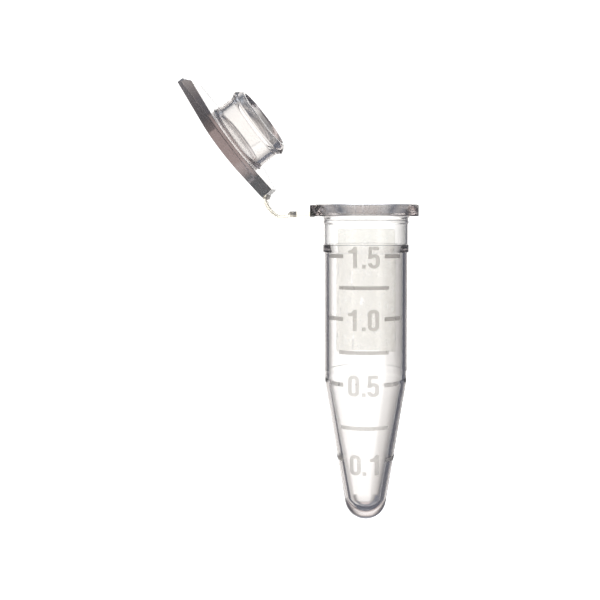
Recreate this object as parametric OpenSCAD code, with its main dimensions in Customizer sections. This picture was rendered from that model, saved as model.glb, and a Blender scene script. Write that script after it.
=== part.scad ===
// Microcentrifuge tube, 1.5 mL, with an attached snap cap shown open.
// Frame: the origin is where the mouth's lead-in meets its straight wall, in
// the plane of the collar's underside. +Z points up out of the mouth, the hinge
// is on the -X side and the graduations face -Y. Millimetres. The pieces are
// drawn from the collar's top face and then lifted by the collar's thickness.

/* [Vessel] */
// Outer radius of the straight wall
wall_r = 5.15; // [5.05:0.01:5.25]
// Inner radius of the straight wall
bore_r = 4.62; // [4.5:0.01:4.7]
// Inner radius of the mouth that the plug seals in
mouth_r = 4.95; // [4.93:0.01:4.98]
// Outer radius of the wall around the mouth
neck_r = 5.19; // [5.17:0.01:5.22]
// Slope of the lead-in at the top of the mouth, degrees from the axis
lead_in = 35.4; // [34:0.1:37]
// Radius of the two raised rings
ring_r = 5.31; // [5.28:0.01:5.34]
// Depth of the wide mouth
mouth_depth = 4.9; // [4.8:0.05:5.0]
// Depth at which the bore reaches its main radius
bore_start = 5.85; // [5.7:0.05:6.0]
// Depth of the small ledge above the cone
ledge_depth = 20.5; // [20:0.1:21]
// Depth at which the cone starts
cone_start = 21.5; // [21.2:0.1:21.8]
// Overall depth of the tube below the collar's top face
tube_depth = 39.4; // [39:0.1:39.8]
// Half angle of the outer cone, degrees
outer_half_angle = 9.3; // [9.1:0.1:9.5]
// Half angle of the inner cone, degrees
inner_half_angle = 10.28; // [10:0.01:10.5]
// Thickness of the closed tip
tip_wall = 1.25; // [1.1:0.05:1.4]

/* [Collar] */
// Radius of the collar
collar_r = 6.54; // [6.45:0.01:6.6]
// Thickness of the collar
collar_t = 1.45; // [1.35:0.05:1.5]
// Distance from the axis to the flat hinge seat on the collar
seat_x = 6.7; // [6.65:0.01:6.9]
// Width of the flat end of the hinge seat, whose sides run into the collar
seat_w = 4.0; // [4.0:0.1:4.4]

/* [Hinge] */
// Width of the hinge tab and strap
strap_w = 3; // [2.6:0.1:3.2]
// Thickness of the strap
strap_t = 0.42; // [0.38:0.01:0.46]
// Width of the tab next to the collar
tab_w = 3.92; // [3.6:0.02:4.2]
// Thickness of the tab next to the collar
tab_t = 0.75; // [0.7:0.01:0.8]
// Distance from the axis to the lower fold line
fold_x = 9.72; // [9.7:0.01:9.74]
// Angle between the closed and the stored open cap, degrees
open_angle = 126.3; // [125.8:0.1:127]

/* [Cap] */
// Radius of the round part of the cap plate
plate_r = 6.5; // [6.4:0.01:6.55]
// Thickness of the cap plate
plate_t = 1.6; // [1.5:0.05:1.65]
// Distance from the axis to the end of the thumb tab
thumb_x = 9.9; // [9.7:0.05:10]
// Distance from the axis to the end of the hinge lug
lug_x = 7.95; // [7.9:0.01:8]
// Width of the hinge lug at its end
lug_w = 3.4; // [3.2:0.1:4.0]
// Radius of the plug's sealing bead
bead_r = 4.8; // [4.76:0.01:4.82]
// Radius of the plug's shank
shank_r = 4.5; // [4.45:0.01:4.55]
// Inner radius of the hollow plug
plug_hole_r = 3.75; // [3.7:0.01:3.85]
// Length of the plug below the plate
plug_len = 4.25; // [4.1:0.05:4.3]

/* [Marks] */
// Height that the marks stand out of the wall
mark_t = 0.06; // [0.05:0.01:0.08]
// Turn of the marks about the axis, towards the side away from the hinge
mark_turn = 2.5; // [0:0.5:5]
// Width of the frosted writing panel on the thick wall
panel_w = 8.4; // [8.2:0.1:8.6]
// Width of the frosted writing panel on the thin wall of the mouth
panel_top_w = 7.6; // [7.4:0.1:7.8]
// Turn of the writing panel about the axis, towards the hinge
panel_turn = 4; // [0:0.5:5]

/* [Hidden] */
$fn = 96;
pivot_z = -1.45;
// gap between the closed cap and the collar
seat_gap = 0.05;
seat_r = collar_r - 0.06;
seat_a = atan2(seat_w / 2, seat_x) + acos(seat_r / norm([seat_x, seat_w / 2]));
cone_tan = tan(outer_half_angle);
bore_tan = tan(inner_half_angle);
// the rounded tip is a ball tangent to the cone, inside and outside
tip_r = (wall_r - cone_tan * (tube_depth - cone_start))
    / (cos(outer_half_angle) - cone_tan * (1 - sin(outer_half_angle)));
tip_z = -tube_depth + tip_r;
floor_depth = tube_depth - tip_wall;
floor_r = (bore_r - bore_tan * (floor_depth - cone_start))
    / (cos(inner_half_angle) - bore_tan * (1 - sin(inner_half_angle)));
floor_z = -floor_depth + floor_r;
// the strap's middle line: a short straight run, a tight bend, then a wide bend
run = 0.66;
bend_1_r = 1.0;
bend_2_r = 3.3;
head_0 = 184;
head_1 = 150;
head_2 = 108;
p1x = -fold_x + run * cos(head_0);
p1z = pivot_z + run * sin(head_0);
c1x = p1x + bend_1_r * cos(head_0 - 90);
c1z = p1z + bend_1_r * sin(head_0 - 90);
p2x = c1x + bend_1_r * cos(head_1 + 90);
p2z = c1z + bend_1_r * sin(head_1 + 90);
c2x = p2x + bend_2_r * cos(head_1 - 90);
c2z = p2z + bend_2_r * sin(head_1 - 90);
fold2_x = c2x + bend_2_r * cos(head_2 + 90);
fold2_z = c2z + bend_2_r * sin(head_2 + 90);
// the sides of the tab and of the lug touch the plate's rim here
tab_a = acos(plate_r / norm([thumb_x, 2.0])) + atan(2.0 / thumb_x);
tab_x = plate_r * cos(tab_a);
tab_y = plate_r * sin(tab_a);
lug_a = acos(plate_r / norm([lug_x, lug_w / 2])) + atan(lug_w / 2 / lug_x);
lug_root_x = plate_r * cos(lug_a);
lug_root_y = plate_r * sin(lug_a);
// the cap-side fold line when the cap is closed
closed_x = -8.45;
closed_z = pivot_z + sqrt(pow(fold2_x + fold_x, 2) + pow(fold2_z - pivot_z, 2)
    - pow(closed_x + fold_x, 2));

// From the collar's top face to the plane of its underside
module lift() {
    translate([0, 0, collar_t]) children();
}

function cone_r(z) = wall_r - cone_tan * (-z - cone_start);

// Everything under the plane in which a ball of radius r meets its cone
module below(z) {
    translate([-10, -10, z - 20]) cube([20, 20, 20]);
}

module vessel_outer() {
    z_tip = tip_z - tip_r * sin(outer_half_angle);
    union() {
        rotate_extrude($fn = 180)
            polygon([[0, 0], [neck_r + 0.03, 0], [neck_r + 0.03, -1.94],
                [ring_r - 0.03, -1.94], [ring_r, -1.99], [ring_r, -2.28],
                [neck_r, -2.36], [neck_r, -mouth_depth], [ring_r, -mouth_depth],
                [ring_r, -bore_start], [wall_r, -bore_start - 0.04],
                [wall_r, -ledge_depth], [wall_r - 0.06, -ledge_depth - 0.06],
                [wall_r - 0.06, -cone_start - 0.06 / cone_tan],
                [tip_r * cos(outer_half_angle), z_tip], [0, z_tip]]);
        intersection() {
            translate([0, 0, tip_z]) sphere(r = tip_r, $fn = 180);
            below(z_tip);
        }
    }
}

module vessel_inner() {
    z_f = floor_z - floor_r * sin(inner_half_angle);
    union() {
        rotate_extrude($fn = 180)
            polygon([[0, 1], [mouth_r + (collar_t + 1) * tan(lead_in), 1],
                [mouth_r, -collar_t], [mouth_r, -mouth_depth], [bore_r, -bore_start],
                [bore_r, -cone_start], [floor_r * cos(inner_half_angle), z_f], [0, z_f]]);
        intersection() {
            translate([0, 0, floor_z]) sphere(r = floor_r, $fn = 180);
            below(z_f);
        }
    }
}

// Vessel: thin mouth, two raised rings, straight wall, ledge, cone and round tip
module tube_body() {
    color([0.93, 0.94, 0.96, 0.45])
    lift()
    difference() {
        vessel_outer();
        vessel_inner();
    }
}

// Collar around the mouth, with the flat seat of the hinge and a small gusset
// under it where it meets the wall
module collar() {
    color([0.90, 0.91, 0.94, 0.45])
    lift()
    difference() {
        union() {
            rotate_extrude($fn = 180)
                polygon([[neck_r - 0.5, -collar_t - 0.3], [neck_r + 0.03, -collar_t - 0.3],
                    [neck_r + 0.23, -collar_t], [collar_r - 0.08, -collar_t],
                    [collar_r, -collar_t + 0.08], [collar_r, -0.08],
                    [collar_r - 0.08, 0], [neck_r - 0.5, 0]]);
            translate([0, 0, -collar_t]) linear_extrude(collar_t)
                polygon([[-seat_x, seat_w / 2], [-seat_x, -seat_w / 2],
                    [-seat_r * cos(seat_a), -seat_r * sin(seat_a)],
                    [-seat_r * cos(seat_a), seat_r * sin(seat_a)]]);
        }
        translate([0, 0, -collar_t - 1]) cylinder(r = neck_r + 0.03, h = collar_t + 2, $fn = 180);
        translate([0, 0, -collar_t]) cylinder(r1 = mouth_r,
            r2 = mouth_r + (collar_t + 1) * tan(lead_in), h = collar_t + 1, $fn = 180);
        // bevel along the seat's top edge
        translate([-seat_x, 0, 0]) rotate([0, 45, 0])
            cube([0.25, seat_w + 2, 0.25], center = true);
    }
}

// Tab that carries the strap, narrowing and thinning towards the lower fold line
module hinge_tab() {
    zb = pivot_z - 0.125;
    hs = strap_w / 2;
    ht = tab_w / 2;
    color([0.92, 0.93, 0.95, 0.45])
    lift()
    intersection() {
        translate([0, 3, 0]) rotate([90, 0, 0]) linear_extrude(6)
            polygon([[-seat_x, zb], [-seat_x, zb + tab_t], [-9.26, zb + tab_t],
                [-fold_x + 0.22, zb + strap_t + 0.1],
                [-fold_x + 0.02, pivot_z + 0.02], [-fold_x + 0.02, pivot_z - 0.02],
                [-fold_x + 0.13, zb], [-8.5, zb]]);
        translate([0, 0, -5]) linear_extrude(8)
            polygon([[-seat_x, -ht], [-seat_x, ht], [-9.26 - hs + ht, ht], [-9.26, hs],
                [-fold_x, hs], [-fold_x, -hs], [-9.26, -hs], [-9.26 - hs + ht, -ht]]);
    }
}

module wedge(cx, cz, r, a0, a1) {
    am = (a0 + a1) / 2;
    polygon([[cx, cz], [cx + r * cos(a0), cz + r * sin(a0)],
        [cx + 1.3 * r * cos(am), cz + 1.3 * r * sin(am)],
        [cx + r * cos(a1), cz + r * sin(a1)]]);
}

module band(cx, cz, r, a0, a1) {
    intersection() {
        difference() {
            translate([cx, cz]) circle(r = r + strap_t / 2, $fn = 180);
            translate([cx, cz]) circle(r = r - strap_t / 2, $fn = 180);
        }
        wedge(cx, cz, r * 2, a0, a1);
    }
}

// Strap between the two fold lines, curved as it hangs with the cap open
module hinge_strap() {
    ux = cos(head_0);
    uz = sin(head_0);
    h = strap_t / 2;
    tx = cos(head_2);
    tz = sin(head_2);
    ax = -fold_x + 0.26 * ux;
    az = pivot_z + 0.26 * uz;
    color([0.94, 0.93, 0.92, 0.45])
    lift()
    translate([0, strap_w / 2, 0]) rotate([90, 0, 0]) linear_extrude(strap_w)
    union() {
        // straight run that ends in an edge at the lower fold line
        polygon([[-fold_x - 0.02, pivot_z + 0.01], [ax + h * uz, az - h * ux],
            [p1x + h * uz, p1z - h * ux], [p1x - h * uz, p1z + h * ux],
            [ax - h * uz, az + h * ux], [-fold_x - 0.02, pivot_z - 0.01]]);
        band(c1x, c1z, bend_1_r, head_1 + 90, head_0 + 90.4);
        band(c2x, c2z, bend_2_r, head_2 + 93, head_1 + 90.3);
        // the other end comes to an edge at the upper fold line
        polygon([[fold2_x - 0.03 * tx, fold2_z - 0.03 * tz],
            [c2x + (bend_2_r + h) * cos(head_2 + 93), c2z + (bend_2_r + h) * sin(head_2 + 93)],
            [c2x + (bend_2_r + h) * cos(head_2 + 94.5), c2z + (bend_2_r + h) * sin(head_2 + 94.5)],
            [c2x + (bend_2_r - h) * cos(head_2 + 94.5), c2z + (bend_2_r - h) * sin(head_2 + 94.5)],
            [c2x + (bend_2_r - h) * cos(head_2 + 93), c2z + (bend_2_r - h) * sin(head_2 + 93)]]);
    }
}

// Puts a piece drawn with the cap closed where it is with the cap open
module open_cap() {
    translate([fold2_x, 0, fold2_z]) rotate([0, -open_angle, 0])
        translate([-closed_x, 0, -closed_z]) children();
}

// Round plate that covers the collar
module lid_plate() {
    color([0.86, 0.86, 0.90, 0.45])
    lift()
    open_cap() difference() {
        rotate_extrude($fn = 180)
            polygon([[0, seat_gap], [plate_r - 0.06, seat_gap], [plate_r, seat_gap + 0.06],
                [plate_r, seat_gap + plate_t - 0.1], [plate_r - 0.1, seat_gap + plate_t],
                [0, seat_gap + plate_t]]);
        // faces that the tab and the lug are joined to
        translate([tab_x, -6.5, -1]) cube([4, 13, 4]);
        translate([-lug_root_x - 4, -6.5, -1]) cube([4, 13, 4]);
    }
}

// Outline of the lug, seen along the plug's axis
module lug_plan() {
    hs = strap_w / 2;
    polygon([[-lug_root_x, -lug_root_y], [-lug_root_x, lug_root_y], [-lug_x, lug_w / 2],
        [-lug_x, hs], [closed_x, hs], [closed_x, -hs], [-lug_x, -hs], [-lug_x, -lug_w / 2]]);
}

// Lug between the plate and the upper fold line
module lid_lug() {
    color([0.86, 0.86, 0.90, 0.45])
    lift()
    open_cap() intersection() {
        translate([0, 6, 0]) rotate([90, 0, 0]) linear_extrude(12)
            polygon([[-lug_root_x, seat_gap], [-lug_x + 0.13, seat_gap],
                [-lug_x, seat_gap + plate_t - 0.78],
                [closed_x + 0.12, closed_z - 0.2],
                [closed_x + 0.02, closed_z - 0.01],
                [closed_x + 0.02, closed_z + 0.01],
                [closed_x + 0.1, seat_gap + plate_t],
                [-lug_root_x, seat_gap + plate_t]]);
        linear_extrude(4) lug_plan();
    }
}

// Tab that a thumb lifts, cut away and scooped under its end
module thumb_tab() {
    rise = 0.98 / 1.13;
    color([0.86, 0.86, 0.90, 0.45])
    lift()
    open_cap() difference() {
        translate([0, 0, seat_gap]) linear_extrude(plate_t)
            polygon([[tab_x, -tab_y], [thumb_x - 0.3, -2.0 - 0.3 * (tab_y - 2.0) / (thumb_x - tab_x)],
                [thumb_x - 0.08, -2.0], [thumb_x, -1.75], [thumb_x, 1.75], [thumb_x - 0.08, 2.0],
                [thumb_x - 0.3, 2.0 + 0.3 * (tab_y - 2.0) / (thumb_x - tab_x)], [tab_x, tab_y]]);
        translate([0, 4, 0]) rotate([90, 0, 0]) linear_extrude(8)
            polygon([[thumb_x - 1.2, seat_gap - 0.07 * rise], [thumb_x + 0.05, seat_gap + 1.18 * rise],
                [thumb_x + 0.05, -1], [thumb_x - 1.2, -1]]);
        translate([thumb_x + 0.13, 0, seat_gap - 0.31]) rotate([90, 0, 0])
            cylinder(r = 1.3, h = 2.8, center = true);
    }
}

// Hollow plug with its sealing bead
module seal_plug() {
    zb = seat_gap;
    color([0.95, 0.95, 0.96, 0.45])
    lift()
    open_cap() rotate_extrude($fn = 180) difference() {
        polygon([[plug_hole_r - 0.4, zb], [shank_r + 0.15, zb], [shank_r + 0.04, zb - 0.12],
            [shank_r, zb - 0.3], [shank_r, zb - 2.75], [bead_r - 0.04, zb - 3.2],
            [bead_r, zb - 3.35], [bead_r, zb - 3.5], [4.25, zb - plug_len + 0.05],
            [4.15, zb - plug_len], [plug_hole_r - 0.4, zb - plug_len]]);
        polygon([[0, zb + 1], [plug_hole_r - 0.12, zb + 1], [plug_hole_r - 0.12, zb - 0.08],
            [plug_hole_r, zb - 0.3], [plug_hole_r, zb - plug_len + 0.25],
            [plug_hole_r + 0.1, zb - plug_len], [plug_hole_r + 0.1, -9], [0, -9]]);
    }
}

// A thin skin that follows the outside of the tube
module skin(t) {
    lr = wall_r - 0.06;
    lz = -cone_start - 0.06 / cone_tan;
    rotate_extrude($fn = 180)
        polygon([[neck_r, -2.9], [neck_r + t, -2.9], [neck_r + t, -mouth_depth + t],
            [ring_r + t, -mouth_depth + t], [ring_r + t, -bore_start - t],
            [wall_r + t, -bore_start - 0.04 - t], [wall_r + t, -ledge_depth],
            [lr + t, -ledge_depth - 0.06], [lr + t, lz], [cone_r(-34) + t, -34],
            [cone_r(-34), -34], [lr, lz], [lr, -ledge_depth - 0.06],
            [wall_r, -ledge_depth], [wall_r, -bore_start - 0.04],
            [ring_r, -bore_start], [ring_r, -mouth_depth], [neck_r, -mouth_depth]]);
}

// The same for one level of constant radius
module level_skin(r, z0, z1) {
    rotate_extrude($fn = 180)
        polygon([[r, z0], [r + mark_t, z0], [r + mark_t, z1], [r, z1]]);
}

module from_front() {
    rotate([0, 0, mark_turn]) rotate([90, 0, 0]) linear_extrude(9) children();
}

// Puts a flat drawing on the side of the tube that faces -Y
module on_front() {
    intersection() {
        skin(mark_t);
        from_front() children();
    }
}

module bar(x0, x1, z, h) {
    translate([x0, z - h / 2]) square([x1 - x0, h]);
}

// Numerals are drawn 2.58 tall from their foot at [0, 0]
module digit_1() {
    polygon([[0.57, 0], [1.06, 0], [1.06, 2.58], [0.64, 2.58], [0.54, 2.36],
        [0.36, 2.2], [0, 2.12], [0, 1.8], [0.57, 1.8]]);
}

module stadium(w, h, r) {
    union() {
        translate([r, 0]) square([w - 2 * r, h]);
        translate([0, r]) square([w, h - 2 * r]);
        for (x = [r, w - r], y = [r, h - r]) translate([x, y]) circle(r = r, $fn = 48);
    }
}

module digit_0() {
    difference() {
        stadium(1.36, 2.58, 0.6);
        translate([0.46, 0.42]) stadium(0.44, 1.74, 0.21);
    }
}

module digit_5() {
    union() {
        translate([0.1, 2.2]) square([1.2, 0.38]);
        polygon([[0.1, 2.5], [0.02, 1.15], [0.44, 1.15], [0.5, 2.5]]);
        difference() {
            stadium(1.42, 1.7, 0.62);
            translate([0.47, 0.4]) stadium(0.46, 0.9, 0.22);
            translate([-0.5, 0.62]) square([0.96, 0.54]);
        }
    }
}

module point() {
    square([0.45, 0.45]);
}

// Frosted field for handwriting on the side that faces +Y
module writing_panel() {
    color([0.90, 0.90, 0.88])
    lift()
    intersection() {
        skin(mark_t * 0.8);
        rotate([0, 0, 180 + panel_turn]) rotate([90, 0, 0]) linear_extrude(9) union() {
            translate([-panel_w / 2, -18.75]) stadium(panel_w, 13.85, 0.3);
            translate([-panel_top_w / 2, -6]) stadium(panel_top_w, 3, 0.3);
        }
    }
}

// Level lines: pairs of side dashes and single bars between them
module graduation_bars() {
    color([0.72, 0.71, 0.72])
    lift()
    on_front() union() {
        for (s = [-1, 1]) {
            bar(min(s * 2.5, s * 4.28), max(s * 2.5, s * 4.28), -6.22, 0.5);
            bar(min(s * 2.5, s * 4.38), max(s * 2.5, s * 4.38), -13.77, 0.5);
            bar(min(s * 2.5, s * 4.15), max(s * 2.5, s * 4.15), -21.77, 0.5);
            bar(min(s * 2.6, s * 3.8), max(s * 2.6, s * 3.8), -31.42, 0.5);
        }
        bar(-3.0, 3.0, -10.01, 0.45);
        bar(-3.0, 3.0, -17.81, 0.45);
        bar(-2.85, 2.85, -27.18, 0.45);
    }
}

module numeral_1_5() {
    color([0.72, 0.71, 0.72])
    lift()
    for (k = [0, 1]) intersection() {
        // the feet stand on the wall and the heads on the lower ring
        if (k == 0) level_skin(wall_r, -8, -bore_start - 0.04);
        else level_skin(ring_r, -bore_start, -mouth_depth);
        from_front() translate([0, -7.65]) union() {
            translate([-1.85, 0]) digit_1();
            translate([-0.19, 0]) point();
            translate([0.51, 0]) digit_5();
        }
    }
}

module numeral_1_0() {
    color([0.72, 0.71, 0.72])
    lift()
    intersection() {
        level_skin(wall_r, -16, -12);
        from_front() translate([0, -15.16]) union() {
            translate([-1.88, 0]) digit_1();
            translate([-0.19, 0]) point();
            translate([0.51, 0]) digit_0();
        }
    }
}

module numeral_0_5() {
    color([0.72, 0.71, 0.72])
    lift()
    on_front() translate([0, -23.15]) union() {
        translate([-1.89, 0]) digit_0();
        translate([-0.19, 0]) point();
        translate([0.46, 0]) digit_5();
    }
}

module numeral_0_1() {
    color([0.72, 0.71, 0.72])
    lift()
    on_front() translate([0, -33.18]) union() {
        translate([-1.77, 0]) digit_0();
        translate([-0.19, 0]) point();
        translate([0.72, 0]) digit_1();
    }
}

tube_body();
collar();
hinge_tab();
hinge_strap();
lid_plate();
lid_lug();
thumb_tab();
seal_plug();
writing_panel();
graduation_bars();
numeral_1_5();
numeral_1_0();
numeral_0_5();
numeral_0_1();
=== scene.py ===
import bpy
import bmesh
import math
from mathutils import Matrix, Vector


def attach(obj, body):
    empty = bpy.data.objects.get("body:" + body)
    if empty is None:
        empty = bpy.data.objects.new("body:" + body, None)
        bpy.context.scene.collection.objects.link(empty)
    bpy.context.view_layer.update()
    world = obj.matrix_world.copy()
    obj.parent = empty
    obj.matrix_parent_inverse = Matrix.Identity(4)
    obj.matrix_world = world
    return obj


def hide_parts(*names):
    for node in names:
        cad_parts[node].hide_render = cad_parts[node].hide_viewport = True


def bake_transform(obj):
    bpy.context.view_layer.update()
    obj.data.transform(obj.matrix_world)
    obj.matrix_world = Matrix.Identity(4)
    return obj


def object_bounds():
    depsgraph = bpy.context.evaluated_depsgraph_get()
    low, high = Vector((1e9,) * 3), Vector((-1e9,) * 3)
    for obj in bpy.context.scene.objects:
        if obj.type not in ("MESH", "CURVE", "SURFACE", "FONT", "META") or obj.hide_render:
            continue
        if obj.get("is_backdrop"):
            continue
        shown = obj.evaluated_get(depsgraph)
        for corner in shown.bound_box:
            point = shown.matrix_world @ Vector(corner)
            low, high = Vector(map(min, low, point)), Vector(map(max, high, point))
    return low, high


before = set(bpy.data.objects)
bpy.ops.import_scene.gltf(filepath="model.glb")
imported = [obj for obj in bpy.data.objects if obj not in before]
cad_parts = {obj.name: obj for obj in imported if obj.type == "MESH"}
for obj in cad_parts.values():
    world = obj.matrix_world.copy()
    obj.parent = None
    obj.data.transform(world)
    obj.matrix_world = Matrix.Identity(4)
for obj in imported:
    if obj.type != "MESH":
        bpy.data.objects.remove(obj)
cad_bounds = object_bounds()

MM = 0.001
PI = math.pi
rad = math.radians

# --------------------------------------------------------------------------
# sizes in millimetres, the same as the part's source
# --------------------------------------------------------------------------
WALL, BORE, MOUTH, NECK, RING = 5.15, 4.62, 4.95, 5.19, 5.31
MOUTH_D, BORE_Z, LEDGE_Z, CONE_Z = 4.9, 5.85, 20.5, 21.5
DEPTH, FLOOR_D = 39.4, 38.15
HALF_OUT, HALF_IN = rad(9.3), rad(10.28)
COLLAR_R, COLLAR_T = 6.54, 1.45
SEAT_X, SEAT_W = 6.7, 4.0
STRAP_W, STRAP_T, TAB_W = 3.0, 0.42, 3.92
LEAD_IN = rad(35.4)
LIFT = 1.45  # the pieces are drawn from the collar's top face
OPEN = 126.3
GAP, PLATE_R, PLATE_T = 0.05, 6.5, 1.6
BEAD, SHANK, HOLE, PLUG = 4.8, 4.5, 3.75, 4.25
THUMB_X, LUG_X, LUG_W = 9.9, 7.95, 3.4
FOLD1 = (-9.72, -1.45)
FOLD2 = (-12.436635, 0.473627)
CLOSED = (-8.45, 1.626938)
MARK_TURN = 2.5


# --------------------------------------------------------------------------
# mesh helpers
# --------------------------------------------------------------------------
def mesh_object(name, verts, faces, material, sharp=30.0, weld=1e-7):
    me = bpy.data.meshes.new(name)
    me.from_pydata([(x * MM, y * MM, (z + LIFT) * MM) for x, y, z in verts], [], faces)
    bm = bmesh.new()
    bm.from_mesh(me)
    bmesh.ops.remove_doubles(bm, verts=bm.verts, dist=weld)
    bmesh.ops.dissolve_degenerate(bm, edges=bm.edges, dist=1e-8)
    bmesh.ops.recalc_face_normals(bm, faces=bm.faces)
    for f in bm.faces:
        f.smooth = True
    for e in bm.edges:
        if len(e.link_faces) == 2 and e.calc_face_angle(0) > rad(sharp):
            e.smooth = False
    bm.to_mesh(me)
    bm.free()
    obj = bpy.data.objects.new(name, me)
    bpy.context.scene.collection.objects.link(obj)
    me.materials.append(material)
    return obj


def rounded(pts, n=5):
    """A polyline of (r, z, corner radius) with its corners turned into arcs."""
    out = []
    for i, (x, y, c) in enumerate(pts):
        if i == 0 or i == len(pts) - 1 or c <= 0:
            out.append((x, y))
            continue
        a = Vector((pts[i - 1][0] - x, pts[i - 1][1] - y))
        b = Vector((pts[i + 1][0] - x, pts[i + 1][1] - y))
        la, lb = a.length, b.length
        a.normalize()
        b.normalize()
        half = math.acos(max(-1, min(1, a.dot(b)))) / 2
        if half > rad(89.9):
            out.append((x, y))
            continue
        d = min(c / math.tan(half), la * 0.45, lb * 0.45)
        r = d * math.tan(half)
        mid = (a + b).normalized() * (r / math.sin(half))
        cx, cy = x + mid.x, y + mid.y
        p, q = Vector((x, y)) + a * d, Vector((x, y)) + b * d
        a0 = math.atan2(p.y - cy, p.x - cx)
        a1 = math.atan2(q.y - cy, q.x - cx)
        da = (a1 - a0 + PI) % (2 * PI) - PI
        for k in range(n + 1):
            t = a0 + da * k / n
            out.append((cx + r * math.cos(t), cy + r * math.sin(t)))
    return supported(out)


def supported(pts, reach=0.035):
    """Extra points near both ends of every long straight run, so that flat faces shade flat."""
    out = [pts[0]]
    for a, b in zip(pts, pts[1:]):
        d = math.dist(a, b)
        if d > 4 * reach:
            for k in (reach / d, 1 - reach / d):
                out.append((a[0] + (b[0] - a[0]) * k, a[1] + (b[1] - a[1]) * k))
        out.append(b)
    return out


def loft(rings, first_pole=None, last_pole=None):
    """Quads between closed rings of the same length, with fans at the poles."""
    n = len(rings[0])
    verts = [p for ring in rings for p in ring]
    faces = []
    for k in range(len(rings) - 1):
        for i in range(n):
            j = (i + 1) % n
            faces.append((k * n + i, k * n + j, (k + 1) * n + j, (k + 1) * n + i))
    if first_pole is not None:
        verts.append(first_pole)
        p = len(verts) - 1
        faces += [(p, (i + 1) % n, i) for i in range(n)]
    if last_pole is not None:
        verts.append(last_pole)
        p = len(verts) - 1
        b = (len(rings) - 1) * n
        faces += [(p, b + i, b + (i + 1) % n) for i in range(n)]
    return verts, faces


# --------------------------------------------------------------------------
# materials
# --------------------------------------------------------------------------
class Nodes:
    def __init__(self, name):
        self.mat = bpy.data.materials.new(name)
        self.mat.use_nodes = True
        self.t = self.mat.node_tree
        self.t.nodes.clear()
        self.out = self.t.nodes.new("ShaderNodeOutputMaterial")

    def new(self, kind, **props):
        n = self.t.nodes.new(kind)
        for k, v in props.items():
            if k.startswith("in_"):
                n.inputs[k[3:].replace("_", " ")].default_value = v
            else:
                setattr(n, k, v)
        return n

    def link(self, a, b):
        self.t.links.new(a, b)

    def coords(self, scale=(1, 1, 1), turn=(0, 0, 0)):
        tc = self.new("ShaderNodeTexCoord")
        mp = self.new("ShaderNodeMapping")
        mp.inputs["Scale"].default_value = scale
        mp.inputs["Rotation"].default_value = turn
        self.link(tc.outputs["Object"], mp.inputs["Vector"])
        return mp.outputs["Vector"]

    def noise(self, vec, scale, detail=3.0, rough=0.5, distortion=0.0):
        n = self.new("ShaderNodeTexNoise")
        n.inputs["Scale"].default_value = scale
        n.inputs["Detail"].default_value = detail
        n.inputs["Roughness"].default_value = rough
        n.inputs["Distortion"].default_value = distortion
        self.link(vec, n.inputs["Vector"])
        return n.outputs["Fac"]

    def remap(self, val, a, b, c, d, smooth=False):
        n = self.new("ShaderNodeMapRange")
        n.interpolation_type = "SMOOTHSTEP" if smooth else "LINEAR"
        n.inputs["From Min"].default_value = a
        n.inputs["From Max"].default_value = b
        n.inputs["To Min"].default_value = c
        n.inputs["To Max"].default_value = d
        self.link(val, n.inputs["Value"])
        return n.outputs["Result"]

    def math(self, op, a, b=None):
        n = self.new("ShaderNodeMath", operation=op)
        for s, v in zip(n.inputs, (a, b)):
            if v is None:
                continue
            if isinstance(v, (int, float)):
                s.default_value = v
            else:
                self.link(v, s)
        return n.outputs[0]

    def mix_color(self, fac, a, b):
        n = self.new("ShaderNodeMix", data_type="RGBA")
        self.link(fac, n.inputs[0])
        n.inputs[6].default_value = (*a, 1)
        n.inputs[7].default_value = (*b, 1)
        return n.outputs[2]

    def bump(self, height, strength, distance):
        n = self.new("ShaderNodeBump")
        n.inputs["Strength"].default_value = strength
        n.inputs["Distance"].default_value = distance
        self.link(height, n.inputs["Height"])
        return n.outputs["Normal"]


def clear_plastic(name, absorb=None, rough=(0.0, 0.045), wave=0.12, tint=(0.99, 0.99, 0.985), hair=0.06,
                  milk=0.95):
    """Clear natural polypropylene: smooth, with faint flow waves, haze patches and hairline marks."""
    m = Nodes(name)
    p = m.new("ShaderNodeBsdfPrincipled")
    p.inputs["Base Color"].default_value = (*tint, 1)
    p.inputs["Transmission Weight"].default_value = milk
    p.inputs["IOR"].default_value = 1.49
    vec = m.coords()
    haze = m.noise(vec, 260.0, 4.0, 0.6)
    rough_v = m.remap(haze, 0.42, 0.72, rough[0], rough[1], True)
    # hairline scratches along the axis
    streak = m.noise(m.coords((1, 1, 0.08), (0.25, 0.12, 0)), 2600.0, 2.0, 0.7)
    line = m.remap(streak, 0.66, 0.74, 0.0, hair, True)
    m.link(m.math("ADD", rough_v, line), p.inputs["Roughness"])
    flow = m.noise(m.coords((1, 1, 0.35)), 170.0, 2.0, 0.4, 0.3)
    m.link(m.bump(flow, wave, 0.0002), p.inputs["Normal"])
    m.link(p.outputs["BSDF"], m.out.inputs["Surface"])
    if absorb:
        v = m.new("ShaderNodeVolumeAbsorption")
        d = max(absorb)
        v.inputs["Density"].default_value = d
        v.inputs["Color"].default_value = (*(1 - a / d for a in absorb), 1)
        m.link(v.outputs["Volume"], m.out.inputs["Volume"])
    return m.mat


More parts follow.
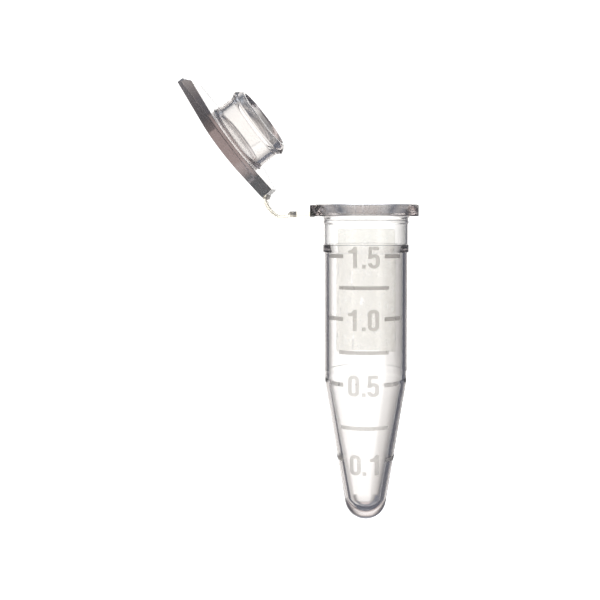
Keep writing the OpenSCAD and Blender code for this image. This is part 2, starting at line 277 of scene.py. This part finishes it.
def frosted(name, base, dark, rough, weight, cut=None, fade=None):
    """Etched polypropylene: rough, milky, mottled, with worn spots and scratches."""
    m = Nodes(name)
    p = m.new("ShaderNodeBsdfPrincipled")
    p.inputs["IOR"].default_value = 1.49
    p.inputs["Transmission Weight"].default_value = weight
    vec = m.coords()
    mott = m.noise(vec, 900.0, 5.0, 0.7)
    grain = m.noise(vec, 5200.0, 3.0, 0.7)
    both = m.math("ADD", m.math("MULTIPLY", mott, 0.6), m.math("MULTIPLY", grain, 0.4))
    fac = m.remap(both, 0.36, 0.64, 0.0, 1.0, True)
    if fade:
        # the print wears thinner towards the tip
        sep = m.new("ShaderNodeSeparateXYZ")
        m.link(vec, sep.inputs[0])
        worn_z = m.remap(sep.outputs[2], fade[0], fade[1], 0.0, fade[2], True)
        fac = m.math("ADD", m.math("MULTIPLY", fac, 1.0 - fade[2]), worn_z)
    m.link(m.mix_color(fac, dark, base), p.inputs["Base Color"])
    m.link(m.remap(both, 0.35, 0.65, rough[0], rough[1]), p.inputs["Roughness"])
    m.link(m.bump(grain, 0.35, 0.00002), p.inputs["Normal"])
    surface = p.outputs["BSDF"]
    if cut:
        # scratches and worn spots through which the clear wall shows
        scr = m.noise(m.coords((1, 1, 0.16), (0.0, cut[0], 0.0)), cut[1], 3.0, 0.65, 0.4)
        worn = m.noise(vec, cut[2], 4.0, 0.75)
        hole = m.math("MAXIMUM", m.remap(scr, cut[3], cut[3] + 0.05, 0.0, 0.9, True),
                      m.remap(worn, cut[4], cut[4] + 0.05, 0.0, 0.85, True))
        m.link(m.math("SUBTRACT", 1.0, hole), p.inputs["Alpha"])
    m.link(surface, m.out.inputs["Surface"])
    return m.mat


ABSORB = (124.0, 147.0, 150.0)
mat_tube = clear_plastic("clear_pp_tube", ABSORB, (0.0, 0.02), 0.05, milk=0.975)
mat_lid = clear_plastic("clear_pp_lid", ABSORB, (0.0, 0.006), 0.014, (0.99, 0.985, 0.97), 0.02)
mat_hinge = clear_plastic("clear_pp_hinge", None, (0.0, 0.01), 0.02, (0.93, 0.88, 0.77), 0.02)
mat_panel = frosted("frosted_field", (0.945, 0.940, 0.910), (0.865, 0.860, 0.825), (0.16, 0.32), 1.0,
                    (0.35, 1500.0, 700.0, 0.62, 0.66))
mat_marks = frosted("frosted_marks", (0.935, 0.93, 0.905), (0.62, 0.60, 0.59), (0.24, 0.40), 1.0,
                    (0.5, 2200.0, 1500.0, 0.66, 0.68), (-0.008, -0.028, 0.78))
mat_numerals = frosted("frosted_numerals", (0.94, 0.935, 0.91), (0.80, 0.785, 0.765), (0.24, 0.40), 1.0,
                       (0.5, 2200.0, 1500.0, 0.66, 0.68), (-0.008, -0.028, 0.78))


# --------------------------------------------------------------------------
# tube shell
# --------------------------------------------------------------------------
SEAT_A = math.atan2(SEAT_W / 2, SEAT_X) + math.acos(COLLAR_R / math.hypot(SEAT_X, SEAT_W / 2))
SEAT = [(-SEAT_X, SEAT_W / 2), (-SEAT_X, -SEAT_W / 2),
        (-COLLAR_R * math.cos(SEAT_A), -COLLAR_R * math.sin(SEAT_A)),
        (-COLLAR_R * math.cos(SEAT_A), COLLAR_R * math.sin(SEAT_A))]


def ray(poly, t):
    """How far the direction t runs from the axis to the polygon's outline."""
    best = 0.0
    dx, dy = math.cos(t), math.sin(t)
    for (x0, y0), (x1, y1) in zip(poly, poly[1:] + poly[:1]):
        ex, ey = x1 - x0, y1 - y0
        det = dx * -ey + dy * ex
        if abs(det) < 1e-12:
            continue
        s = (x0 * -ey + y0 * ex) / det
        u = (dx * y0 - dy * x0) / det
        if s > 0 and -1e-9 <= u <= 1 + 1e-9:
            best = max(best, s)
    return best


def seat_outline(t):
    return max(COLLAR_R, ray(SEAT, t))


def angles(n, extra):
    ts = [2 * PI * i / n for i in range(n)]
    ts = [t for t in ts if all(abs(math.sin((t - e) / 2)) > 0.15 * PI / n for e in extra)]
    return sorted(ts + [e % (2 * PI) for e in extra])


def build_tube():
    tan_o, tan_i = math.tan(HALF_OUT), math.tan(HALF_IN)
    tip_r = (WALL - tan_o * (DEPTH - CONE_Z)) / (math.cos(HALF_OUT) - tan_o * (1 - math.sin(HALF_OUT)))
    tip_z = -DEPTH + tip_r
    fl_r = (BORE - tan_i * (FLOOR_D - CONE_Z)) / (math.cos(HALF_IN) - tan_i * (1 - math.sin(HALF_IN)))
    fl_z = -FLOOR_D + fl_r
    a1 = math.atan2(SEAT_W / 2, SEAT_X)
    ts = angles(320, [PI - a1, PI + a1, PI - SEAT_A, PI + SEAT_A])
    out = []
    for k in range(1, 25):
        a = rad(-90) + (rad(90) - HALF_OUT) * k / 24
        out.append((tip_r * math.cos(a), tip_z + tip_r * math.sin(a)))
    prof = [(out[-1][0], out[-1][1], 0),
            (WALL - 0.06, -CONE_Z - 0.06 / tan_o, 0.4), (WALL - 0.06, -LEDGE_Z - 0.06, 0.03),
            (WALL, -LEDGE_Z, 0.03), (WALL, -BORE_Z - 0.05, 0.04), (RING, -BORE_Z, 0.05),
            (RING, -MOUTH_D, 0.05), (NECK, -MOUTH_D, 0.04), (NECK, -2.40, 0.05),
            (RING, -2.28, 0.06), (RING, -1.97, 0.05), (NECK + 0.03, -1.92, 0.03),
            (NECK + 0.03, -1.75, 0.08), (5.44, -COLLAR_T, 0.08), (6.0, -COLLAR_T, 0),
            (COLLAR_R - 0.07, -COLLAR_T, 0.02), (COLLAR_R, -COLLAR_T + 0.07, 0.02),
            (COLLAR_R, -0.09, 0.03), (COLLAR_R - 0.09, 0, 0.03),
            (MOUTH + COLLAR_T * math.tan(LEAD_IN), 0, 0.03), (MOUTH, -COLLAR_T, 0.12), (MOUTH, -MOUTH_D, 0.12),
            (BORE, -BORE_Z, 0.2), (BORE, -CONE_Z, 0.6),
            (fl_r * math.cos(HALF_IN), fl_z - fl_r * math.sin(HALF_IN), 0)]
    out += rounded(prof)[1:]
    for k in range(1, 24):
        a = -HALF_IN - (rad(90) - HALF_IN) * k / 24
        out.append((fl_r * math.cos(a), fl_z + fl_r * math.sin(a)))
    rings = []
    for r, z in out:
        if r > 6.1 and z > -1.6:
            top = z > -0.4
            ring = []
            for t in ts:
                o = seat_outline(t)
                k = 1.0 + (1.4 if top else 0.4) * min(1.0, (o - COLLAR_R) / 0.3)
                rr = o - (COLLAR_R - r) * k
                ring.append((rr * math.cos(t), rr * math.sin(t), z))
            rings.append(ring)
        else:
            rings.append([(r * math.cos(t), r * math.sin(t), z) for t in ts])
    v, f = loft(rings, (0, 0, -DEPTH), (0, 0, -FLOOR_D))
    return mesh_object("tube_shell", v, f, mat_tube)


# --------------------------------------------------------------------------
# lid shell, drawn closed and then opened
# --------------------------------------------------------------------------
def touch(x, y):
    """Where a straight side from (x, y) touches the plate's rim."""
    a = math.acos(PLATE_R / math.hypot(x, y)) + math.atan2(y, x)
    return PLATE_R * math.cos(a), PLATE_R * math.sin(a)


TX, TY = touch(THUMB_X, 2.0)
TAB = [(TX, TY), (THUMB_X - 0.3, 2.0 + 0.3 * (TY - 2.0) / (THUMB_X - TX)), (THUMB_X - 0.08, 2.0), (THUMB_X, 1.75)]
TAB = [(x, -y) for x, y in TAB] + TAB[::-1]
LX, LY = touch(LUG_X, LUG_W / 2)
LUG = [(-LX, LY), (-LUG_X, LUG_W / 2), (-LUG_X, -LUG_W / 2), (-LX, -LY)]


def lid_outline(t):
    return max(PLATE_R, ray(TAB, t), ray(LUG, t))


def lid_bottom(x, y):
    """Underside height: the lug's end is stepped, and the tab's end is cut away and scooped."""
    if x > THUMB_X - 1.13:
        h = GAP + (x - THUMB_X + 1.13) * 0.98 / 1.13
        k = 1 - ((x - THUMB_X + 0.565) / 0.565) ** 2
        side = min(1.0, max(0.0, (1.45 - abs(y)) / 0.12))
        return h + 0.24 * max(0.0, k) * side
    if x < -LUG_X + 0.13:
        k = min(1.0, (-LUG_X + 0.13 - x) / 0.13)
        return GAP + k * (PLATE_T - 0.78)
    return GAP


def build_lid():
    extra = []
    for poly in (TAB, LUG):
        for x, y in poly:
            extra.append(math.atan2(y, x))
    cut = THUMB_X - 1.13
    extra += [math.atan2(y, cut) for y in (-1.45, -1.33, 1.33, 1.45)]
    ts = angles(400, extra)
    top = GAP + PLATE_T
    rings = []
    outl = [lid_outline(t) for t in ts]

    def ring(fr, fz):
        pts = []
        for t, o in zip(ts, outl):
            r = fr(t, o)
            x, y = r * math.cos(t), r * math.sin(t)
            pts.append((x, y, fz(x, y, t, o)))
        rings.append(pts)

    flat = lambda x, y, t, o: top
    for r in (1.5, 3.0, 4.5, 5.6, 6.1):
        ring(lambda t, o, r=r: r, flat)
    for s in (0.3, 0.6, 0.85, 1.0):
        ring(lambda t, o, s=s: 6.1 + (o - 6.1 - 0.12) * s, flat)
    # rounded rim above and below
    for k in range(6):
        a = PI / 2 * k / 5
        ring(lambda t, o, a=a: o - 0.09 * (1 - math.sin(a)),
             lambda x, y, t, o, a=a: top - 0.09 * (1 - math.cos(a)))
    for d in (0.12, 0.8):
        ring(lambda t, o: o, lambda x, y, t, o, d=d: top - d)
    ring(lambda t, o: o, lambda x, y, t, o: lid_bottom(x, y) + 0.10)
    for k in range(6):
        a = PI / 2 * k / 5
        ring(lambda t, o, a=a: o - 0.07 * (1 - math.cos(a)),
             lambda x, y, t, o, a=a: lid_bottom(x, y) + 0.07 * (1 - math.sin(a)))
    low = lambda x, y, t, o: lid_bottom(x, y)

    def at_cut(t, o, s):
        """Rings that follow the straight edges under the tab's end and the lug's end."""
        e = o - 0.07
        c = math.cos(t)
        line = e
        if c > 0.2:
            line = min(e, cut / c)
        elif c < -0.2:
            line = min(e, (LUG_X - 0.13) / -c)
        return line + (e - line) * s if s >= 0 else 6.1 + (line - 6.1) * (1 + s)

    ring(lambda t, o: o - 0.10, low)
    for s in (0.8, 0.6, 0.4, 0.2, 0.0, -0.2, -0.5, -0.8):
        ring(lambda t, o, s=s: max(6.1, at_cut(t, o, s)), low)
    ring(lambda t, o: 6.1, low)
    prof = [(6.1, GAP, 0), (SHANK + 0.17, GAP, 0.03), (SHANK + 0.05, GAP - 0.13, 0.08), (SHANK, GAP - 0.32, 0.2),
            (SHANK, GAP - 2.75, 0.5), (BEAD - 0.03, GAP - 3.2, 0.25), (BEAD, GAP - 3.42, 0.15),
            (4.25, GAP - PLUG + 0.06, 0.12), (4.1, GAP - PLUG, 0.05), (HOLE + 0.06, GAP - PLUG, 0.04),
            (HOLE, GAP - PLUG + 0.25, 0.2), (HOLE, GAP - 0.3, 0.12), (HOLE - 0.12, GAP - 0.02, 0.1), (2.0, GAP - 0.02, 0)]
    for r, z in rounded(prof)[1:]:
        rings.append([(r * math.cos(t), r * math.sin(t), z) for t in ts])
    v, f = loft(rings, (0, 0, top), (0, 0, GAP - 0.02))
    c, s = math.cos(rad(-OPEN)), math.sin(rad(-OPEN))
    moved = []
    for x, y, z in v:
        x, z = x - CLOSED[0], z - CLOSED[1]
        moved.append((x * c + z * s + FOLD2[0], y, -x * s + z * c + FOLD2[1]))
    return mesh_object("lid_shell", moved, f, mat_lid)


# --------------------------------------------------------------------------
# hinge: a swept band in two pieces that meet in the middle of the strap
# --------------------------------------------------------------------------
def hinge_path():
    """Middle line: (x, z, heading, half height inside, half height outside, edge radius, width)."""
    p = []
    zt = FOLD1[1] - 0.125
    # the tab, narrowing and thinning towards the lower fold line
    mid = zt + 0.30
    for x, lo, hi, rc, w in ((-SEAT_X + 0.004, 0, 0.75, 0.012, TAB_W), (-7.9, 0, 0.75, 0.012, TAB_W),
                             (-9.26 - STRAP_W / 2 + TAB_W / 2, 0, 0.75, 0.012, TAB_W),
                             (-9.26, 0, 0.75, 0.012, STRAP_W), (-9.34, 0, 0.68, 0.05, STRAP_W),
                             (-9.5, 0.0, 0.53, 0.10, STRAP_W), (-9.62, -0.02, 0.40, 0.12, STRAP_W),
                             (-9.72, -0.03, 0.33, 0.13, STRAP_W), (-9.80, -0.05, 0.36, 0.14, STRAP_W)):
        p.append((x, mid, 180.0, zt + hi - mid, mid - zt - lo, rc, w))
    h = STRAP_T / 2

    def at(x, z, head, k=1.0):
        p.append((x, z, head, h * k, h * k, 0.16 * k, STRAP_W))

    x, z = FOLD1
    for s in (0.22, 0.34, 0.48, 0.66):
        at(x + s * math.cos(rad(184)), z + s * math.sin(rad(184)), 184)
    p1 = (x + 0.66 * math.cos(rad(184)), z + 0.66 * math.sin(rad(184)))
    c1 = (p1[0] + math.cos(rad(94)), p1[1] + math.sin(rad(94)))
    for k in range(1, 13):
        hd = 184 - 34 * k / 12
        at(c1[0] + math.cos(rad(hd + 90)), c1[1] + math.sin(rad(hd + 90)), hd)
    p2 = (p[-1][0], p[-1][1])
    c2 = (p2[0] + 3.3 * math.cos(rad(60)), p2[1] + 3.3 * math.sin(rad(60)))
    for k in range(1, 21):
        hd = 150 - 42 * k / 20
        at(c2[0] + 3.3 * math.cos(rad(hd + 90)), c2[1] + 3.3 * math.sin(rad(hd + 90)), hd,
           1.0 if k < 18 else 1.0 - 0.08 * (k - 17))
    return p


def sweep(path, name, material, cap0, cap1):
    rings = []
    for x, z, hd, up, dn, rc, width in path:
        # across the band: the inner side is on the right of the heading
        nx, nz = math.cos(rad(hd - 90)), math.sin(rad(hd - 90))
        w = width / 2
        rc = min(rc, (up + dn) * 0.45)
        sect = []
        for sy, sn, a0 in ((1, 1, 0), (-1, 1, 90), (-1, -1, 180), (1, -1, 270)):
            cy = sy * (w - rc)
            cn = up - rc if sn > 0 else rc - dn
            for k in range(7):
                a = rad(a0 + 90 * k / 6)
                sect.append((cy + rc * math.cos(a), cn + rc * math.sin(a)))
        rings.append([(x + n * nx, y, z + n * nz) for y, n in sect])
    v, f = loft(rings)
    n = len(rings[0])
    if cap0:
        f.append(tuple(range(n)))
    if cap1:
        f.append(tuple(reversed(range(len(v) - n, len(v)))))
    return mesh_object(name, v, f, material, sharp=30)


def build_hinge():
    path = hinge_path()
    mid = next(i for i, q in enumerate(path) if q[0] < -11.45)
    lower = sweep(path[:mid + 1], "hinge_lower", mat_hinge, True, False)
    upper_path = path[mid:]
    # from the upper fold line into the stepped end of the lug
    for s, up, dn in ((0.10, 0.20, 0.12), (0.22, 0.34, 0.06), (0.36, 0.55, 0.03), (0.51, 0.70, 0.02)):
        upper_path.append((FOLD2[0] + s * math.cos(rad(OPEN)), FOLD2[1] + s * math.sin(rad(OPEN)), OPEN,
                           up, dn, 0.05, STRAP_W))
    upper = sweep(upper_path, "hinge_upper", mat_hinge, False, True)
    return lower, upper


# --------------------------------------------------------------------------
# build
# --------------------------------------------------------------------------
tube = build_tube()
lid = build_lid()
lower, upper = build_hinge()

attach(tube, "tube")
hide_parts("tube_body", "collar")
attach(lid, "lid")
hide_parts("lid_plate", "lid_lug", "thumb_tab", "seal_plug")
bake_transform(lower)
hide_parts("hinge_tab")
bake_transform(upper)
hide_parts("hinge_strap")

for node, m in (("writing_panel", mat_panel), ("graduation_bars", mat_marks), ("numeral_1_5", mat_numerals),
                ("numeral_1_0", mat_numerals), ("numeral_0_5", mat_numerals), ("numeral_0_1", mat_numerals)):
    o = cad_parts[node]
    if not o.material_slots:
        o.data.materials.append(m)
    for s in o.material_slots:
        s.material = m

# --------------------------------------------------------------------------
# floor, light and camera
# --------------------------------------------------------------------------
fm = Nodes("floor_white")
fp = fm.new("ShaderNodeBsdfPrincipled")
fn = fm.noise(fm.coords(), 14.0, 4.0, 0.6)
fm.link(fm.mix_color(fn, (0.90, 0.90, 0.89), (0.93, 0.93, 0.92)), fp.inputs["Base Color"])
fp.inputs["Roughness"].default_value = 0.7
fp.inputs["Emission Color"].default_value = (1, 1, 1, 1)
fp.inputs["Emission Strength"].default_value = 1.0
fm.link(fp.outputs["BSDF"], fm.out.inputs["Surface"])
S = 1500.0
floor = mesh_object("studio_floor", [(-S, -S, -300), (S, -S, -300), (S, S, -300), (-S, S, -300)], [(0, 1, 2, 3)],
                    fm.mat)
floor.visible_transmission = False
floor.visible_glossy = False
floor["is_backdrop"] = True

world = bpy.data.worlds.new("studio")
world.use_nodes = True
bpy.context.scene.world = world
wt = world.node_tree
wt.nodes.clear()
w_out = wt.nodes.new("ShaderNodeOutputWorld")


def wnode(kind, *ins, **props):
    n = wt.nodes.new(kind)
    for k, v in props.items():
        setattr(n, k, v)
    for i, v in enumerate(ins):
        if v is None:
            continue
        if isinstance(v, (int, float, tuple)):
            n.inputs[i].default_value = v
        else:
            wt.links.new(v, n.inputs[i])
    return n.outputs[0]


def wmath(op, a, b=None, c=None):
    return wnode("ShaderNodeMath", a, b, c, operation=op)


w_tc = wt.nodes.new("ShaderNodeTexCoord")
w_sep = wt.nodes.new("ShaderNodeSeparateXYZ")
wt.links.new(w_tc.outputs["Generated"], w_sep.inputs[0])
dx, dy, dz = w_sep.outputs
# azimuth in degrees of the direction, 0 along +Y and rising towards -X
w_az = wmath("MULTIPLY", wmath("ARCTAN2", wmath("MULTIPLY", dx, -1.0), dy), 180 / PI)
w_el = wmath("MULTIPLY", wmath("ARCSINE", dz), 180 / PI)


def edge(value, at, soft, rising=True):
    n = wt.nodes.new("ShaderNodeMapRange")
    n.interpolation_type = "SMOOTHSTEP"
    n.inputs["From Min"].default_value = at - soft
    n.inputs["From Max"].default_value = at + soft
    n.inputs["To Min"].default_value = 0.0 if rising else 1.0
    n.inputs["To Max"].default_value = 1.0 if rising else 0.0
    wt.links.new(value, n.inputs["Value"])
    return n.outputs["Result"]


def ramp(value, stops):
    n = wt.nodes.new("ShaderNodeValToRGB")
    els = n.color_ramp.elements
    for i, (at, c) in enumerate(stops):
        e = els[i] if i < 2 else els.new(at)
        e.position = at
        c = c if isinstance(c, tuple) else (c, c, c)
        e.color = (*c, 1)
    wt.links.new(value, n.inputs[0])
    return n.outputs["Color"]


# how the light of a soft panel falls off to its sides, over 45 degrees
FALL = [(0.0, 1.0), (0.09, 0.93), (0.135, 0.80), (0.17, 0.70), (0.22, 0.60), (0.26, 0.54), (0.34, 0.43),
        (0.41, 0.33), (0.53, 0.16), (0.65, 0.07), (0.80, 0.015), (1.0, 0.0)]


def window(centre, low, high, vsoft=9.0, flat=0.0, hsoft=None, span=45.0, level=1.0):
    """A soft bright panel round the object, in degrees, with a flat middle."""
    d = wmath("SUBTRACT", w_az, float(centre))
    d = wmath("ABSOLUTE", wmath("SUBTRACT", wmath("FLOORED_MODULO", wmath("ADD", d, 180.0), 360.0), 180.0))
    if flat:
        d = wmath("MAXIMUM", wmath("SUBTRACT", d, flat), 0.0)
    m = ramp(wmath("DIVIDE", d, span), FALL)
    if level != 1.0:
        m = wmath("MULTIPLY", m, level)
    m = wmath("MULTIPLY", m, edge(w_el, low, vsoft))
    return wmath("MULTIPLY", m, edge(w_el, high, hsoft or vsoft, False))


PHI = 5.3
panels = [window(PHI + 1.8, -20.5, 1.2, 2.5, 0.0, 1.2), window(PHI + 9, -20.5, 1.2, 2.5, 0.0, 1.2),
          window(PHI + 3, 0.6, 34, 1.0, 13.0, 9.0),
          window(PHI + 1.8, -28, 1.2, 8.0, 4.0, 1.2, 16.0),
          window(92, -17, 30, 3.0), window(225, -34, 30), window(33, -50, -13, 4.0, 8.0, None, 16.0, 0.62)]
w_all = panels[0]
for q in panels[1:]:
    w_all = wmath("MAXIMUM", w_all, q)
w_col = ramp(w_all, [(0.0, (0.062, 0.068, 0.088)), (1.0, (1.0, 1.0, 0.985)), (0.08, (0.102, 0.103, 0.117)),
                     (0.35, (0.355, 0.345, 0.335)), (0.6, (0.60, 0.59, 0.575))])


def away(centre):
    d = wmath("ADD", wmath("SUBTRACT", w_az, float(centre)), 180.0)
    return wmath("ABSOLUTE", wmath("SUBTRACT", wmath("FLOORED_MODULO", d, 360.0), 180.0))


def lighten(fac, a, b):
    n = wt.nodes.new("ShaderNodeMix")
    n.data_type = "RGBA"
    n.blend_type = "LIGHTEN"
    wt.links.new(fac, n.inputs[0])
    wt.links.new(a, n.inputs[6])
    wt.links.new(b, n.inputs[7])
    return n.outputs[2]


# the pale floor, brightest under the main window, and the room's dim walls
w_fcol = ramp(wmath("DIVIDE", away(PHI), 90.0), [(0.0, (0.57, 0.505, 0.49)), (1.0, (0.17, 0.175, 0.20)),
                                                 (0.045, (0.53, 0.47, 0.455)), (0.085, (0.23, 0.22, 0.235)),
                                                 (0.12, (0.16, 0.17, 0.205)), (0.30, (0.12, 0.13, 0.165)),
                                                 (0.45, (0.075, 0.08, 0.10)), (0.58, (0.07, 0.075, 0.095)),
                                                 (0.72, (0.16, 0.165, 0.19))])
w_dim = ramp(wmath("DIVIDE", away(PHI), 90.0), [(0.0, (0.0, 0.0, 0.0)), (1.0, (0.20, 0.205, 0.225)),
                                                (0.52, (0.0, 0.0, 0.0)), (0.74, (0.20, 0.202, 0.22)),
                                                (0.88, (0.28, 0.275, 0.275))])
w_band = wmath("MULTIPLY", edge(w_el, -21.0, 3.0, False), edge(w_el, -40.0, 3.0))
w_col = lighten(w_band, w_col, w_fcol)
w_col = lighten(edge(w_el, 60.0, 20.0, False), w_col, w_dim)
# bluish ceiling, and the near floor that the glossy faces mirror
w_ceil = ramp(edge(w_el, 44.0, 9.0), [(0.0, (0.0, 0.0, 0.0)), (1.0, (0.66, 0.72, 0.80))])
w_low = ramp(edge(w_el, -42.0, 3.0, False), [(0.0, (0.0, 0.0, 0.0)), (1.0, (0.09, 0.10, 0.13))])
w_near = ramp(edge(w_el, -46.0, 6.0, False), [(0.0, (0.0, 0.0, 0.0)), (1.0, (0.88, 0.94, 1.0))])
w_col = lighten(edge(w_el, 30.0, 4.0), w_col, w_ceil)
w_col = lighten(edge(w_el, -38.0, 2.0, False), w_col, w_low)
w_col = lighten(edge(away(PHI), 72.0, 12.0), w_col, w_near)
w_bg = wt.nodes.new("ShaderNodeBackground")
wt.links.new(w_col, w_bg.inputs["Color"])
w_bg.inputs["Strength"].default_value = 1.6
w_cam = wt.nodes.new("ShaderNodeBackground")
w_cam.inputs["Color"].default_value = (1, 1, 1, 1)
w_cam.inputs["Strength"].default_value = 1.4
w_lp = wt.nodes.new("ShaderNodeLightPath")
w_ms = wt.nodes.new("ShaderNodeMixShader")
wt.links.new(w_lp.outputs["Is Camera Ray"], w_ms.inputs[0])
wt.links.new(w_bg.outputs[0], w_ms.inputs[1])
wt.links.new(w_cam.outputs[0], w_ms.inputs[2])
wt.links.new(w_ms.outputs[0], w_out.inputs["Surface"])

cam_data = bpy.data.cameras.new("camera")
cam = bpy.data.objects.new("camera", cam_data)
bpy.context.scene.collection.objects.link(cam)
ph = rad(PHI)
F = Vector((-math.sin(ph), math.cos(ph), 0))
R = Vector((math.cos(ph), math.sin(ph), 0))
U = Vector((0, 0, 1))
D = 126.25 * MM
cam.location = -F * D
FOCAL = 1017.0
aim = (F * 1010.0 - R * 41.53 - U * 62.21).normalized()
q = aim.to_track_quat("-Z", "Y")
cam.rotation_mode = "QUATERNION"
ROLL = rad(0.053)
cam.rotation_quaternion = Matrix.Rotation(ROLL, 4, aim).to_quaternion() @ q
cam_data.sensor_width = 36.0
cam_data.lens = 36.0 * FOCAL / 600.0
cam_data.shift_x = -0.04
cam_data.shift_y = -0.035
cam_data.clip_start = 0.001
cam_data.clip_end = 20.0
bpy.context.scene.camera = cam
bpy.context.scene.view_settings.view_transform = "Standard"
bpy.context.scene.view_settings.look = "None"
bpy.context.scene.cycles.max_bounces = 32
bpy.context.scene.cycles.transmission_bounces = 32
bpy.context.scene.cycles.glossy_bounces = 12
bpy.context.scene.cycles.transparent_max_bounces = 24
bpy.context.scene.cycles.diffuse_bounces = 4

model_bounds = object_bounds()


def plain(b):
    if isinstance(b, dict):
        return {k: plain(v) for k, v in b.items()}
    if isinstance(b, (list, tuple, Vector)):
        return [plain(v) for v in b]
    return float(b) if isinstance(b, (int, float)) else b


{"cad": plain(cad_bounds), "model": plain(model_bounds)}
